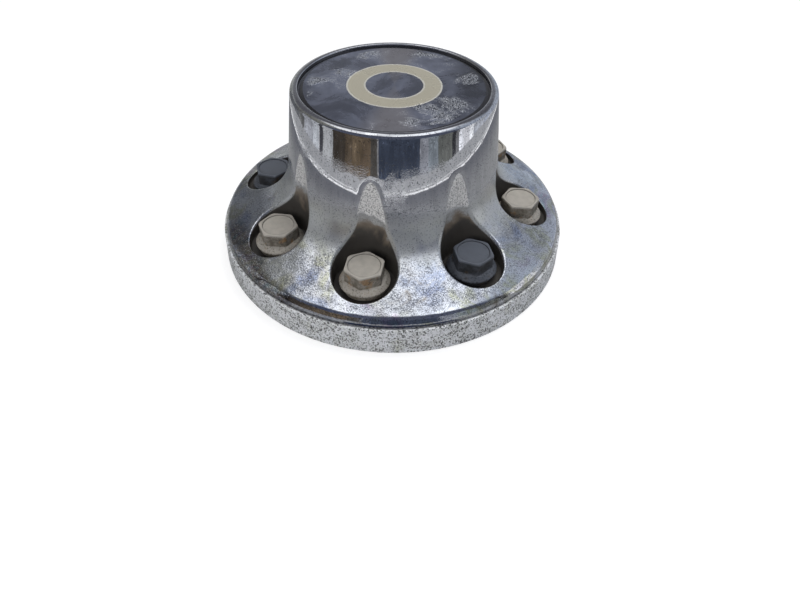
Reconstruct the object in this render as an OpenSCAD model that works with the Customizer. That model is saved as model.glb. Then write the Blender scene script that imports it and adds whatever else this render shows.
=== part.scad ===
// Wheel center cap for an eight-lug truck wheel, with captive screw-on lug nut covers.
// It stands on its rim, and its axis is Z. The first cover is on -Y, and the rest follow
// counterclockwise seen from above.

/* [Lug circle] */
// Diameter of the circle that the lug nut covers stand on
lug_circle_d = 165.1; // [160:0.1:170]

/* [Rim and dome] */
// Outer diameter of the rim where it meets the wheel
rim_d = 226; // [222:0.5:232]
// Diameter at the top of the rim's plain band
band_top_d = 223.2; // [221:0.2:225]
// Height of the rim's plain band
band_h = 17.4; // [14:0.2:18]
// Diameter of the narrow step above the band
step_d = 220; // [217:0.5:220.5]
// Height at which the dome's slope would meet the step's wall
dome_edge_z = 21.9; // [20.5:0.1:24]
// Slope of the dome in degrees
dome_slope = 25.5; // [22:0.5:28]
// How far the middle of the dome rises above a straight cone
dome_crown = 0.4; // [0:0.1:1]
// Radius with which the dome rolls down to the step
dome_edge_r = 6.4; // [3.5:0.1:6.6]

/* [Hub] */
// Overall height
cap_h = 104.5; // [98:0.5:112]
// Diameter of the hub at its top, before its edge is rounded
hub_top_d = 118.6; // [114:0.2:120]
// Draft of the hub's wall in degrees
hub_draft = 7.5; // [6:0.5:9]
// Radius of the flare from the hub into the dome
flare_r = 20; // [14:1:24]
// Radius of the hub's shoulder
shoulder_r = 3; // [1:0.5:4]
// Diameter of the recess for the disc
recess_d = 110; // [106:0.5:112]
// Depth of the recess for the disc
recess_depth = 2.8; // [2:0.1:4]

/* [Wells] */
// Radius of a well at its floor
well_r = 18.4; // [17.6:0.1:19]
// Draft of a well's wall in degrees
well_draft = 1.5; // [0.5:0.1:2.5]
// Height of a well's floor
floor_z = 22.5; // [21:0.1:23]
// Thickness of a well's floor
floor_t = 2.6; // [2:0.1:3.5]
// Radius of the hole in a well's floor
hole_r = 12; // [11.8:0.1:12.4]

/* [Walls and ribs] */
// Wall thickness of the moulding
wall = 3; // [2.4:0.1:3.5]
// Thickness of the ribs under the dome
rib_t = 2.4; // [1.5:0.1:3]

/* [Disc] */
// Diameter of the disc in the hub's recess
disc_d = 109.2; // [105:0.2:109.4]
// Diameter of the disc's face inside its bevelled border
disc_face_d = 104.4; // [100:0.2:105]
// Thickness of the disc at its border's inner edge
disc_t = 1.3; // [1:0.1:1.8]
// How far the middle of the disc's face is crowned
disc_crown = 0.3; // [0.1:0.1:0.4]

/* [Lug nut covers] */
// Width of the hexagon across its flats
hex_af = 21; // [20.6:0.1:21.4]
// Height of the hexagon's top above the rim's seat
hex_top_z = 38; // [36:0.5:40]
// Height at which the hexagon meets the flange
hex_foot_z = 29.5; // [29:0.1:31]
// Radius of the flange
flange_r = 14.6; // [14:0.1:15.5]
// Height of the flange's edge above the rim's seat
flange_z = 27.5; // [26.5:0.1:28.5]
// Radius of the stem that turns in the floor's hole
stem_r = 11.7; // [11.4:0.1:11.7]
// Height of the stem's lower end above the rim's seat
stem_foot_z = 12.5; // [11:0.5:14]
// Radius of the socket that screws onto the wheel's nut
socket_r = 9.2; // [8.5:0.1:9.4]
// Height of the socket's closed end above the rim's seat
socket_top_z = 34; // [32:0.5:35]

/* [Hidden] */
$fn = 96;
lug_count = 8;
lug_circle_r = lug_circle_d / 2;

// Heights and radii that follow from the sizes above
dome_cot = tan(dome_slope);
hub_tan = tan(hub_draft);
hub_top_r = hub_top_d / 2;
step_r = step_d / 2;
recess_r = recess_d / 2;
recess_z = cap_h - recess_depth;

// The flare's corner is where the hub's wall would meet the dome's slope
flare_corner_r = (hub_top_r + (cap_h - dome_edge_z - step_r * dome_cot) * hub_tan)
               / (1 - dome_cot * hub_tan);
flare_corner_z = dome_edge_z + (step_r - flare_corner_r) * dome_cot;

// Small roundings of the moulding
foot_r = 0.8;
band_edge_r = 0.9;
step_root_r = 0.3;
step_drop = 0.3;
lip_edge_r = 0.7;
crown_r = 60;
foot_setback = 0.4;
hollow_roof_r = 2;

// How far a cut runs past the face that it opens
past = 1;

// The hollow runs one wall below the dome and inside the hub
dome_wall = wall / cos(dome_slope);
hub_wall = wall / cos(hub_draft);
hollow_step_r = step_r - wall;
hollow_edge_z = dome_edge_z + (step_r - hollow_step_r) * dome_cot - dome_wall;
hollow_edge_r = dome_edge_r - wall;
hollow_foot_r = rim_d / 2 - wall - foot_setback;
hollow_roof_z = recess_z - wall;
hollow_hub_r = hub_top_r - hub_wall + (cap_h - hollow_roof_z) * hub_tan;
hollow_flare_r = (hub_top_r - hub_wall + (cap_h - hollow_edge_z - hollow_step_r * dome_cot) * hub_tan)
               / (1 - dome_cot * hub_tan);
hollow_flare_z = hollow_edge_z + (hollow_step_r - hollow_flare_r) * dome_cot;

// A well's cup reaches from below its floor to above the end of its flute
cup_top_z = 96;
well_tan = tan(well_draft);
cup_wall = 2.6;

// Ribs under the dome, halfway between the wells
rib_inner_r = 63;
rib_root = 0.6;
rib_outer_r = hollow_foot_r + rib_root;
rib_inner_z = 24;
rib_outer_z = 9;

// Details of the disc and its border
bevel_drop = 0.8;
disc_edge_r = 0.3;
disc_bevel_r = 1.5;
disc_face_r = 200;

// Details of the lug nut covers
hex_r = hex_af / 2 / cos(30);
hex_chamfer_r = 11.6;
hex_turned_r = 12.2;
hex_chamfer_z = 0.7;
top_dish_r = 9.2;
top_dish_depth = 0.6;
flange_foot_r = 12.3;
flange_edge_h = 1.5;
flange_chamfer_z = 0.4;
flange_chamfer_r = 0.3;
collar_r = 13.2;
barb_r = 12.5;
barb_gap = 0.4;
barb_h = 1.6;
barb_lead_h = 2.6;
finger_slot_w = 2.4;
finger_slot_top_z = floor_z - 1;
mouth_chamfer = 0.8;

// How far each hexagon is turned about its own axis, in degrees
hex_clock = [2, 37, 7, 17, 40, 26, 56, 21];

// Angle of a lug position on the circle
function lug_angle(i) = -90 + i * 360 / lug_count;

// Unit vector from a to b
function toward(a, b) = (b - a) / norm(b - a);

// Points that round the corner at b with radius r, on the way from a to c
function corner(a, b, c, r, steps) =
    let (u = toward(b, a), v = toward(b, c),
         half = acos(max(-1, min(1, u * v))) / 2,
         setback = r / tan(half),
         p = b + u * setback,
         q = b + v * setback,
         centre = b + (u + v) / norm(u + v) * r / sin(half),
         start = atan2(p[1] - centre[1], p[0] - centre[0]),
         stop = atan2(q[1] - centre[1], q[0] - centre[0]),
         turn = (stop - start + 540) % 360 - 180)
    [for (i = [0 : steps]) centre + r * [cos(start + turn * i / steps), sin(start + turn * i / steps)]];

// A closed outline whose corners are [radius from the axis, height, rounding, steps]
function rounded(corners) =
    let (n = len(corners))
    [for (i = [0 : n - 1])
        let (c = corners[i], b = [c[0], c[1]],
             before = corners[(i + n - 1) % n], after = corners[(i + 1) % n])
        each c[2] > 0
            ? corner([before[0], before[1]], b, [after[0], after[1]], c[2], c[3])
            : [b]];

// Middle of the dome's slope, raised by the crown
dome_mid_r = (step_r + flare_corner_r) / 2;
dome_mid_z = (dome_edge_z + flare_corner_z) / 2 + dome_crown;
hollow_mid_r = (hollow_step_r + hollow_flare_r) / 2;
hollow_mid_z = (hollow_edge_z + hollow_flare_z) / 2 + dome_crown;

// Outside of the cap: foot, band, step, dome, flare, hub, shoulder and recess
outer_outline = rounded([
    [0, 0, 0, 0],
    [rim_d / 2, 0, foot_r, 3],
    [band_top_d / 2, band_h, band_edge_r, 4],
    [step_r, band_h - step_drop, step_root_r, 2],
    [step_r, dome_edge_z, dome_edge_r, 8],
    [dome_mid_r, dome_mid_z, crown_r, 1],
    [flare_corner_r, flare_corner_z, flare_r, 8],
    [hub_top_r, cap_h, shoulder_r, 6],
    [recess_r, cap_h, lip_edge_r, 3],
    [recess_r, recess_z, 0, 0],
    [0, recess_z, 0, 0]]);

// Hollow under the dome and inside the hub
hollow_outline = rounded([
    [0, -past, 0, 0],
    [hollow_foot_r, -past, 0, 0],
    [hollow_step_r, hollow_edge_z, hollow_edge_r, 4],
    [hollow_mid_r, hollow_mid_z, crown_r, 1],
    [hollow_flare_r, hollow_flare_z, flare_r + wall, 7],
    [hollow_hub_r, hollow_roof_z, hollow_roof_r, 3],
    [0, hollow_roof_z, 0, 0]]);

module outer_body() rotate_extrude($fn = 180) polygon(outer_outline);

module hollow() rotate_extrude($fn = 180) polygon(hollow_outline);

// Puts a child on every lug position
module on_lugs()
    for (i = [0 : lug_count - 1])
        rotate([0, 0, lug_angle(i)]) translate([lug_circle_r, 0, 0]) children();

// A drafted round column that widens upwards, grown by a wall
module column(low_z, grow)
    translate([0, 0, low_z])
        cylinder(h = cup_top_z - low_z,
                 r1 = well_r + grow + (low_z - floor_z) * well_tan,
                 r2 = well_r + grow + (cup_top_z - floor_z) * well_tan);

// Ribs that tie the hub's foot to the rim
module ribs()
    for (i = [0 : lug_count - 1])
        rotate([0, 0, lug_angle(i + 0.5)])
            translate([0, rib_t / 2, 0])
                rotate([90, 0, 0])
                    linear_extrude(rib_t)
                        polygon([[rib_inner_r, rib_inner_z], [rib_outer_r, rib_outer_z],
                                 [rib_outer_r, band_h], [rib_inner_r, cap_h / 2]]);

// One hollow plated moulding: rim, dome, hub and eight wells with open floors
module cap_shell()
    color([0.78, 0.79, 0.82])
    difference() {
        union() {
            difference() {
                outer_body();
                hollow();
            }
            intersection() {
                outer_body();
                union() {
                    on_lugs() column(floor_z - floor_t, cup_wall);
                    ribs();
                }
            }
        }
        on_lugs() {
            column(floor_z, 0);
            translate([0, 0, floor_z - floor_t - past]) cylinder(h = floor_t + 2 * past, r = hole_r);
        }
    }

// Thin lacquered disc with a bevelled border, seated in the hub's recess
module emblem_disc()
    color([0.25, 0.28, 0.34])
    translate([0, 0, recess_z])
        rotate_extrude($fn = 144)
            polygon(rounded([
                [0, 0, 0, 0],
                [disc_d / 2, 0, 0, 0],
                [disc_d / 2, disc_t - bevel_drop, disc_edge_r, 2],
                [disc_face_d / 2, disc_t, disc_bevel_r, 2],
                [disc_face_d / 4, disc_t + disc_crown * 3 / 4, disc_face_r, 1],
                [0, disc_t + disc_crown, 0, 0]]));

// Flange, collar, stem and snap barb of a lug nut cover, turned as one outline
cover_outline = [
    [0, stem_foot_z],
    [stem_r - mouth_chamfer, stem_foot_z],
    [stem_r, stem_foot_z + mouth_chamfer],
    [stem_r, floor_z - floor_t - barb_gap - barb_h - barb_lead_h],
    [barb_r, floor_z - floor_t - barb_gap - barb_h],
    [barb_r, floor_z - floor_t - barb_gap],
    [stem_r, floor_z - floor_t - barb_gap],
    [stem_r, floor_z],
    [collar_r, floor_z],
    [collar_r, flange_z - flange_edge_h],
    [flange_r, flange_z - flange_edge_h],
    [flange_r, flange_z - flange_chamfer_z],
    [flange_r - flange_chamfer_r, flange_z],
    [flange_foot_r, hex_foot_z],
    [0, hex_foot_z]];

// Hexagon with its corners turned off at the top
module hex_head()
    intersection() {
        translate([0, 0, hex_foot_z - past])
            cylinder(h = hex_top_z - hex_foot_z + past, r = hex_r, $fn = 6);
        union() {
            translate([0, 0, hex_foot_z - past])
                cylinder(h = hex_top_z - hex_chamfer_z - hex_foot_z + past, r = hex_r + past);
            translate([0, 0, hex_top_z - hex_chamfer_z])
                cylinder(h = hex_chamfer_z, r1 = hex_turned_r, r2 = hex_chamfer_r);
        }
    }

// One cover with its threaded socket open below and its snap fingers
module nut_cover(clock)
    difference() {
        union() {
            rotate_extrude($fn = 72) polygon(cover_outline);
            rotate([0, 0, clock]) hex_head();
        }
        translate([0, 0, hex_top_z - top_dish_depth]) cylinder(h = top_dish_depth + past, r = top_dish_r);
        translate([0, 0, stem_foot_z - past])
            cylinder(h = socket_top_z - stem_foot_z + past, r = socket_r);
        for (a = [45, 135])
            rotate([0, 0, a])
                translate([-barb_r - past, -finger_slot_w / 2, stem_foot_z - past])
                    cube([2 * (barb_r + past), finger_slot_w, finger_slot_top_z - stem_foot_z + past]);
    }

module nut_cap(i, tint)
    color(tint)
    rotate([0, 0, lug_angle(i)])
        translate([lug_circle_r, 0, 0])
            nut_cover(hex_clock[i]);

satin_grey = [0.72, 0.70, 0.65];
dark_grey = [0.33, 0.34, 0.36];
module nut_cap_1() nut_cap(0, satin_grey);
module nut_cap_2() nut_cap(1, dark_grey);
module nut_cap_3() nut_cap(2, satin_grey);
module nut_cap_4() nut_cap(3, satin_grey);
module nut_cap_5() nut_cap(4, satin_grey);
module nut_cap_6() nut_cap(5, satin_grey);
module nut_cap_7() nut_cap(6, dark_grey);
module nut_cap_8() nut_cap(7, satin_grey);

cap_shell();
emblem_disc();
nut_cap_1();
nut_cap_2();
nut_cap_3();
nut_cap_4();
nut_cap_5();
nut_cap_6();
nut_cap_7();
nut_cap_8();
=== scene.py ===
"""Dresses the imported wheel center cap: plated shell, lacquered disc, lug nut covers and a studio."""
import math

import bmesh
import bpy
import numpy as np
from bpy.props import FloatProperty, FloatVectorProperty, PointerProperty
from mathutils import Matrix, Vector


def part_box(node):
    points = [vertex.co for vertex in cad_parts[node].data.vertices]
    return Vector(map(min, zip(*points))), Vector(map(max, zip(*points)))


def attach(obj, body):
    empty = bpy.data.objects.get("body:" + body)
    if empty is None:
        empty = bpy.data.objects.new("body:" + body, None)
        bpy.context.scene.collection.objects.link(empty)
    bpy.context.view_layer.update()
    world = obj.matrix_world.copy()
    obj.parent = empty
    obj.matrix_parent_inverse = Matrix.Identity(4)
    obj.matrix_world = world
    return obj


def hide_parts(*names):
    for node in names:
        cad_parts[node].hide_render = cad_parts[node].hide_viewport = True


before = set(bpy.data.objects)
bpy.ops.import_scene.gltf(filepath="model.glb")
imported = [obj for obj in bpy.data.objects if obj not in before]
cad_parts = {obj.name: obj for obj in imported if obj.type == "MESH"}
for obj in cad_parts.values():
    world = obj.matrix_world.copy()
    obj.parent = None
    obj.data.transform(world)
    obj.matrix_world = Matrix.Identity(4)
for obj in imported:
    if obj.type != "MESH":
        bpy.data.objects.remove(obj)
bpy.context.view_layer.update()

bl_info = {
    "name": "Wheel Center Cap",
    "version": (1, 0, 0),
    "blender": (4, 5, 0),
    "location": "View3D > Sidebar > Center Cap",
    "description": "Builds a pitted chrome wheel center cap with captive lug nut covers",
    "category": "Object",
}

SHELL_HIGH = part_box("cap_shell")[1]
COVERS = sorted(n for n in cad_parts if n.startswith("nut_cap_"))
LUGS = len(COVERS)
DARK_COVERS = ("nut_cap_2", "nut_cap_7")
SECTOR = 2 * math.pi / LUGS
MM = 0.001

# How far each cover's hexagon is turned about its own axis, in degrees, from nut_cap_1 on
HEX_CLOCK = (2, 37, 7, 17, 40, 26, 56, 21)

# The photograph's frame is turned by this angle from the first lug's, and its right lies this way in x and y
PHOTO_TURN = math.radians(9.85)
PHOTO_RIGHT = (0.985, 0.171)

# Columns of the grids: per sector over a well, at the rim and at each side, then per turned piece
TOP_COLUMNS, RIM_COLUMNS, SIDE_COLUMNS = 22, 34, 36
AROUND = TOP_COLUMNS + RIM_COLUMNS + 2 * SIDE_COLUMNS
# Equal angles round a lug's axis, from the side that faces the hub
EVEN = math.pi - np.arange(AROUND) / AROUND * 2 * math.pi
COVER_COLUMNS, DISC_COLUMNS, STAGE_COLUMNS = 96, 480, 180

# Where the patches with the wells end: height on the hub, radius on the dome, radius in the hollow
HUB_CUT, DOME_CUT, HOLLOW_CUT = 90 * MM, 106 * MM, 104.8 * MM
# The ribs: inner radius, heights of the foot at that radius and at the rim, and how far the head stands in
RIB_START, RIB_FOOT, RIB_SINK = 63 * MM, (24 * MM, 9 * MM), 1.2 * MM

INLAY_OUTER, INLAY_INNER, INLAY_LINE = 27 * MM, 17 * MM, 0.5 * MM
# Radii over which the disc's bevelled border turns near black, painted shade of the gap to the recess
SHADED_BORDER = (0.0519, 0.0523)
# Places where the disc's lacquer has lifted: x, y, radius, direction of the folds and their height, in mm
LIFTED = (
    (-44, -4, 13, 20, 0.9), (-31, 9, 12, -10, 0.8), (-24, 37, 13, 60, 0.7), (11, 45, 12, 5, 0.8),
    (26, 45, 10, -35, 0.7), (41, 18, 14, 50, 0.9), (36, -16, 14, -30, 1.1), (22, -24, 12, -20, 1.0),
    (32, -32, 13, 40, 1.0), (17, -40, 10, -5, 0.7), (-45, -23, 8, 70, 0.4),
)


def length(name, description, millimetres):
    """A property that holds a length."""
    return FloatProperty(name=name, description=description, default=millimetres * MM, unit="LENGTH")


def slant(name, description, degrees):
    """A property that holds an angle."""
    return FloatProperty(name=name, description=description, default=math.radians(degrees), subtype="ANGLE")


def tone(name, description, colour):
    """A property that holds a colour."""
    return FloatVectorProperty(name=name, description=description, size=3, default=colour, subtype="COLOR")


class CapSizes(bpy.types.PropertyGroup):
    """Sizes of the plated shell, in metres"""
    height: FloatProperty(name="Height", description="Overall height", default=SHELL_HIGH.z, unit="LENGTH")
    rim_radius: length("Rim radius", "Radius of the rim at its foot", 113)
    band_radius: length("Band radius", "Radius at the top of the plain band", 111.6)
    band_height: length("Band height", "Height of the plain band", 17.4)
    step_radius: length("Step radius", "Radius of the riser above the band", 110)
    dome_edge: length("Dome edge", "Height where the dome would meet the riser", 21.9)
    dome_slope: slant("Dome slope", "Slope of the dome", 25.5)
    dome_crown: length("Dome crown", "How far the dome rises above a straight cone", 0.4)
    hub_radius: length("Hub radius", "Radius of the hub at its top", 59.3)
    hub_draft: slant("Hub draft", "Draft of the hub's wall", 7.5)
    flare_radius: length("Flare radius", "Radius of the flare from hub to dome", 20)
    shoulder_radius: length("Shoulder radius", "Radius of the hub's shoulder", 3)
    recess_radius: length("Recess radius", "Radius of the recess for the disc", 55)
    recess_depth: length("Recess depth", "Depth of the recess for the disc", 2.8)
    edge_radius: length("Edge radius", "Radius with which the dome rolls down", 6.4)
    wall: length("Wall", "Thickness of the moulding", 3)
    rib: length("Rib", "Thickness of the ribs below the dome", 2.4)


class WellSizes(bpy.types.PropertyGroup):
    """Sizes of the wells that the lug nut covers stand in, in metres"""
    circle: length("Lug circle", "Radius of the circle of the wells", 82.55)
    radius: length("Well radius", "Radius of a well at its floor", 18.4)
    draft: slant("Well draft", "Draft of a well's wall", 1.5)
    floor: length("Floor height", "Height of a well's floor", 22.5)
    floor_thickness: length("Floor thickness", "Thickness of a well's floor", 2.6)
    hole: length("Hole radius", "Radius of the hole in the floor", 12)
    cup_wall: length("Cup wall", "Thickness of the cup round a well", 2.6)
    brow: length("Brow", "Reach of the soft edge over a well's arch", 3.9)
    flank: length("Flank", "Reach of the soft edge beside a well", 2.0)
    lip: length("Lip", "Reach of the soft edge at a well's outer end", 0.9)


class CapColours(bpy.types.PropertyGroup):
    """Colours of the cap's finishes"""
    plating: tone("Plating", "Colour of the chrome", (0.66, 0.67, 0.70))
    lacquer: tone("Lacquer", "Colour of the disc's lacquer", (0.128, 0.140, 0.185))
    inlay: tone("Inlay", "Colour of the ring on the disc", (0.60, 0.56, 0.44))
    cover_grey: tone("Cover grey", "Colour of the satin grey covers", (0.42, 0.39, 0.34))
    cover_dark: tone("Cover dark", "Colour of the dark covers", (0.09, 0.10, 0.12))


# Curves and grids

def corner_arc(a, b, c, radius, steps):
    """Points of the circle of that radius that touches the lines a-b and b-c, from a's side to c's."""
    u = (a - b) / np.linalg.norm(a - b)
    v = (c - b) / np.linalg.norm(c - b)
    half = math.acos(max(-1.0, min(1.0, float(u @ v)))) / 2
    centre = b + (u + v) / np.linalg.norm(u + v) * radius / math.sin(half)
    first = b + u * radius / math.tan(half) - centre
    last = b + v * radius / math.tan(half) - centre
    start = math.atan2(first[1], first[0])
    turn = (math.atan2(last[1], last[0]) - start + math.pi) % (2 * math.pi) - math.pi
    angle = start + turn * np.linspace(0, 1, steps + 1)
    return centre + radius * np.stack([np.cos(angle), np.sin(angle)], -1)


def outline(*corners):
    """An open section through corners (radius, height, rounding, steps), whose first and last stay sharp."""
    at = [np.array(c[:2], float) for c in corners]
    parts = [at[0][None]]
    for i in range(1, len(corners) - 1):
        rounding, steps = corners[i][2:]
        parts.append(corner_arc(at[i - 1], at[i], at[i + 1], rounding, steps) if rounding else at[i][None])
    parts.append(at[-1][None])
    return np.concatenate(parts)


def spaced(points, longest):
    """The same section with points added where two of them stand further apart than longest."""
    gaps = np.linalg.norm(np.diff(points, axis=0), axis=1)
    pieces = np.maximum(1, np.ceil(gaps / longest).astype(int))
    parts = [np.linspace(points[i], points[i + 1], n, endpoint=False) for i, n in enumerate(pieces)]
    return np.concatenate(parts + [points[-1][None]])


def revolved(section, angles):
    """Grid whose rows are the section's points and whose columns are angles round Z."""
    r, z = section[:, 0][:, None], section[:, 1][:, None]
    return np.stack([r * np.cos(angles), r * np.sin(angles), z + 0 * angles], -1)


def turned(points, angle):
    """The same points turned about Z."""
    c, s = math.cos(angle), math.sin(angle)
    return points @ np.array([[c, s, 0], [-s, c, 0], [0, 0, 1]])


def value_noise(x, y, cell, seed):
    """Smooth noise from -1 to 1: random numbers on a square lattice, blended by a cubic between them."""
    rng = np.random.default_rng(seed)
    lattice = rng.uniform(-1, 1, (64, 64))
    u, v = x / cell, y / cell
    i, j = np.floor(u).astype(int), np.floor(v).astype(int)
    fu, fv = u - i, v - j
    fu, fv = fu * fu * (3 - 2 * fu), fv * fv * (3 - 2 * fv)
    a, b = lattice[i % 64, j % 64], lattice[(i + 1) % 64, j % 64]
    c, d = lattice[i % 64, (j + 1) % 64], lattice[(i + 1) % 64, (j + 1) % 64]
    return (a * (1 - fu) + b * fu) * (1 - fv) + (c * (1 - fu) + d * fu) * fv


def grid_quads(rows, columns):
    """Corner numbers of the quads of a grid whose last column is joined to its first."""
    index = np.arange(rows * columns).reshape(rows, columns)
    index = np.concatenate([index, index[:, :1]], 1)
    return np.stack([index[:-1, :-1], index[:-1, 1:], index[1:, 1:], index[1:, :-1]], -1).reshape(-1, 4)


def add_object(name, data):
    """A new object in the scene."""
    thing = bpy.data.objects.new(name, data)
    bpy.context.scene.collection.objects.link(thing)
    return thing


class Skin:
    """One piece's vertices and quads, gathered grid by grid, and a mark per vertex for its finish."""

    def __init__(self):
        self.points, self.quads, self.slots, self.marks, self.count = [], [], [], [], 0

    def grid(self, points, slot=0, mark=0.0):
        """Adds a grid of points, rows by columns, and joins its last column to its first. The mark is one
        number for all, one per row or one per point.
        """
        rows, columns = points.shape[:2]
        quads = grid_quads(rows, columns)
        self.points.append(points.reshape(-1, 3))
        self.quads.append(self.count + quads)
        self.slots.append(np.full(len(quads), slot))
        self.marks.append(np.broadcast_to(mark, (rows, columns)).reshape(-1))
        self.count += rows * columns

    def piece(self, name, materials, sharp):
        """Makes the object: equal points merged, faces turned outwards, edges over sharp degrees kept."""
        points, quads = np.concatenate(self.points), np.concatenate(self.quads)
        mesh = bpy.data.meshes.new(name)
        mesh.vertices.add(len(points))
        mesh.vertices.foreach_set("co", points.ravel())
        mesh.loops.add(quads.size)
        mesh.loops.foreach_set("vertex_index", quads.ravel())
        mesh.polygons.add(len(quads))
        mesh.polygons.foreach_set("loop_start", np.arange(0, quads.size, 4))
        mesh.polygons.foreach_set("material_index", np.concatenate(self.slots))
        mark = mesh.attributes.new("mark", "FLOAT", "POINT")
        mark.data.foreach_set("value", np.concatenate(self.marks).astype(np.float32))
        mesh.update(calc_edges=True)
        mesh.validate()
        work = bmesh.new()
        work.from_mesh(mesh)
        bmesh.ops.remove_doubles(work, verts=work.verts, dist=1e-6)
        bmesh.ops.dissolve_degenerate(work, edges=work.edges, dist=1e-7)
        bmesh.ops.recalc_face_normals(work, faces=work.faces)
        work.to_mesh(mesh)
        work.free()
        mesh.shade_smooth()
        mesh.set_sharp_from_angle(angle=math.radians(sharp))
        for material in materials:
            mesh.materials.append(material)
        return add_object(name, mesh)


# The shell

class Section:
    """A section that falls from the hub to the dome, read by its length or by its radius."""

    def __init__(self, points):
        self.r, self.z = points[:, 0], points[:, 1]
        self.s = np.concatenate([[0], np.cumsum(np.hypot(np.diff(self.r), np.diff(self.z)))])
        self.slope = np.unwrap(np.arctan2(np.gradient(self.z), np.gradient(self.r)))

    def at(self, s):
        """Radius, height and the direction of travel at a length along the section."""
        slope = np.interp(s, self.s, self.slope)
        return np.interp(s, self.s, self.r), np.interp(s, self.s, self.z), slope

    def point(self, s, angle):
        """Point of the turned surface."""
        r, z, _ = self.at(s)
        return np.stack([r * np.cos(angle), r * np.sin(angle), z], -1)

    def basis(self, s, angle):
        """Unit vectors along the section and round the axis."""
        slope = self.at(s)[2]
        along = np.stack([np.cos(slope) * np.cos(angle), np.cos(slope) * np.sin(angle), np.sin(slope)], -1)
        round_ = np.stack([-np.sin(angle), np.cos(angle), 0 * angle], -1)
        return along, round_


def falling(size, hub, step, edge, cut, flare, steps):
    """Section from the hub's wall over the flare to the dome. hub is the wall's radius at full height, step
    and edge are the radius and height where the dome would end, and the section stops at the radius cut.
    """
    hub_tan, dome_tan, crown = math.tan(size.hub_draft), math.tan(size.dome_slope), 500 * MM
    flare_r = (hub + (size.height - edge - step * dome_tan) * hub_tan) / (1 - dome_tan * hub_tan)
    flare_z = edge + (step - flare_r) * dome_tan
    mid = ((step + flare_r) / 2, (edge + flare_z) / 2 + size.dome_crown)
    share = (cut - mid[0]) / (step - mid[0])
    return outline((hub + (size.height - HUB_CUT) * hub_tan, HUB_CUT), (flare_r, flare_z, flare, steps[0]),
                   (*mid, crown, steps[1]), (cut, mid[1] + share * (edge - mid[1])))


def cap_outlines(size):
    """Sections of the shell, cut where the wells' own patches begin and end."""
    in_step = size.step_radius - size.wall
    in_edge = (size.dome_edge + (size.step_radius - in_step) * math.tan(size.dome_slope)
               - size.wall / math.cos(size.dome_slope))
    in_hub = size.hub_radius - size.wall / math.cos(size.hub_draft)
    floor_z = size.height - size.recess_depth
    roof_z = floor_z - size.wall
    roof_r = in_hub + (size.height - roof_z) * math.tan(size.hub_draft)
    foot = size.rim_radius - size.wall - 0.4 * MM
    flare = size.flare_radius
    patch = falling(size, size.hub_radius, size.step_radius, size.dome_edge, DOME_CUT, flare, (80, 40))
    under = falling(size, in_hub, in_step, in_edge, HOLLOW_CUT, flare + size.wall, (60, 30))
    top = outline((0, floor_z), (size.recess_radius, floor_z, 0.25 * MM, 3),
                  (size.recess_radius, size.height, 0.7 * MM, 6),
                  (size.hub_radius, size.height, size.shoulder_radius, 14), patch[0])
    rim = outline(patch[-1], (size.step_radius, size.dome_edge, size.edge_radius, 20),
                  (size.step_radius, size.band_height - 0.3 * MM, 0.3 * MM, 4),
                  (size.band_radius, size.band_height, 0.9 * MM, 6), (size.rim_radius, 0, 0.8 * MM, 6),
                  (foot, 0, 0.3 * MM, 3), (in_step, in_edge, size.edge_radius - size.wall, 8), under[-1])
    return top, patch, rim, under, outline(under[0], (roof_r, roof_z, 2 * MM, 6), (0, roof_z))


def sector_edge(section):
    """The border of one sector, from the middle of its hub end round and back: lengths and angles."""
    end, side = section.s[-1], SECTOR / 2
    top = np.arange(0, TOP_COLUMNS // 2) / (TOP_COLUMNS // 2)
    flank = np.arange(0, SIDE_COLUMNS) / SIDE_COLUMNS
    low = np.arange(0, RIM_COLUMNS // 2) / (RIM_COLUMNS // 2)
    s = np.concatenate([0 * top, flank * end, 0 * low + end, [end]])
    a = np.concatenate([top * side, 0 * flank + side, (1 - low) * side, [0]])
    return np.concatenate([s, s[-2:0:-1]]), np.concatenate([a, -a[-2:0:-1]])


def unit(v):
    """Vectors of length one."""
    return v / np.linalg.norm(v, axis=-1, keepdims=True)


def dot(a, b):
    """Inner products of two lists of vectors."""
    return (a * b).sum(-1)


def wall_basis(well, theta):
    """Unit vectors down the drafted wall and round it."""
    tan = math.tan(well.draft)
    down = unit(np.stack([-tan * np.cos(theta), -tan * np.sin(theta), 0 * theta - 1], -1))
    return down, np.stack([-np.sin(theta), np.cos(theta), 0 * theta], -1)


def wall_point(well, grow, theta, z):
    """Point of the drafted round wall about a lug's axis, theta measured from the outward direction."""
    w = well.radius + grow + (z - well.floor) * math.tan(well.draft)
    return np.stack([well.circle + w * np.cos(theta), w * np.sin(theta), z + 0 * theta], -1)


def rim_height(section, well, grow, theta):
    """Height where the wall meets the turned surface, found by halving an interval 40 times."""
    low, high = np.full_like(theta, 10 * MM), np.full_like(theta, 89 * MM)
    for _ in range(40):
        z = (low + high) / 2
        p = wall_point(well, grow, theta, z)
        above = z > np.interp(np.hypot(p[:, 0], p[:, 1]), section.r, section.z)
        low, high = np.where(above, low, z), np.where(above, z, high)
    return (low + high) / 2


def even_rim(section, well, grow, count):
    """Angles round a lug's axis at equal steps along the rim, from the top of the arch."""
    theta = np.linspace(math.pi, -math.pi, 4001)
    p = wall_point(well, grow, theta, rim_height(section, well, grow, theta))
    run = np.concatenate([[0], np.cumsum(np.linalg.norm(np.diff(p, axis=0), axis=1))])
    return np.interp(np.arange(count) / count * run[-1], run, theta)


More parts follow.
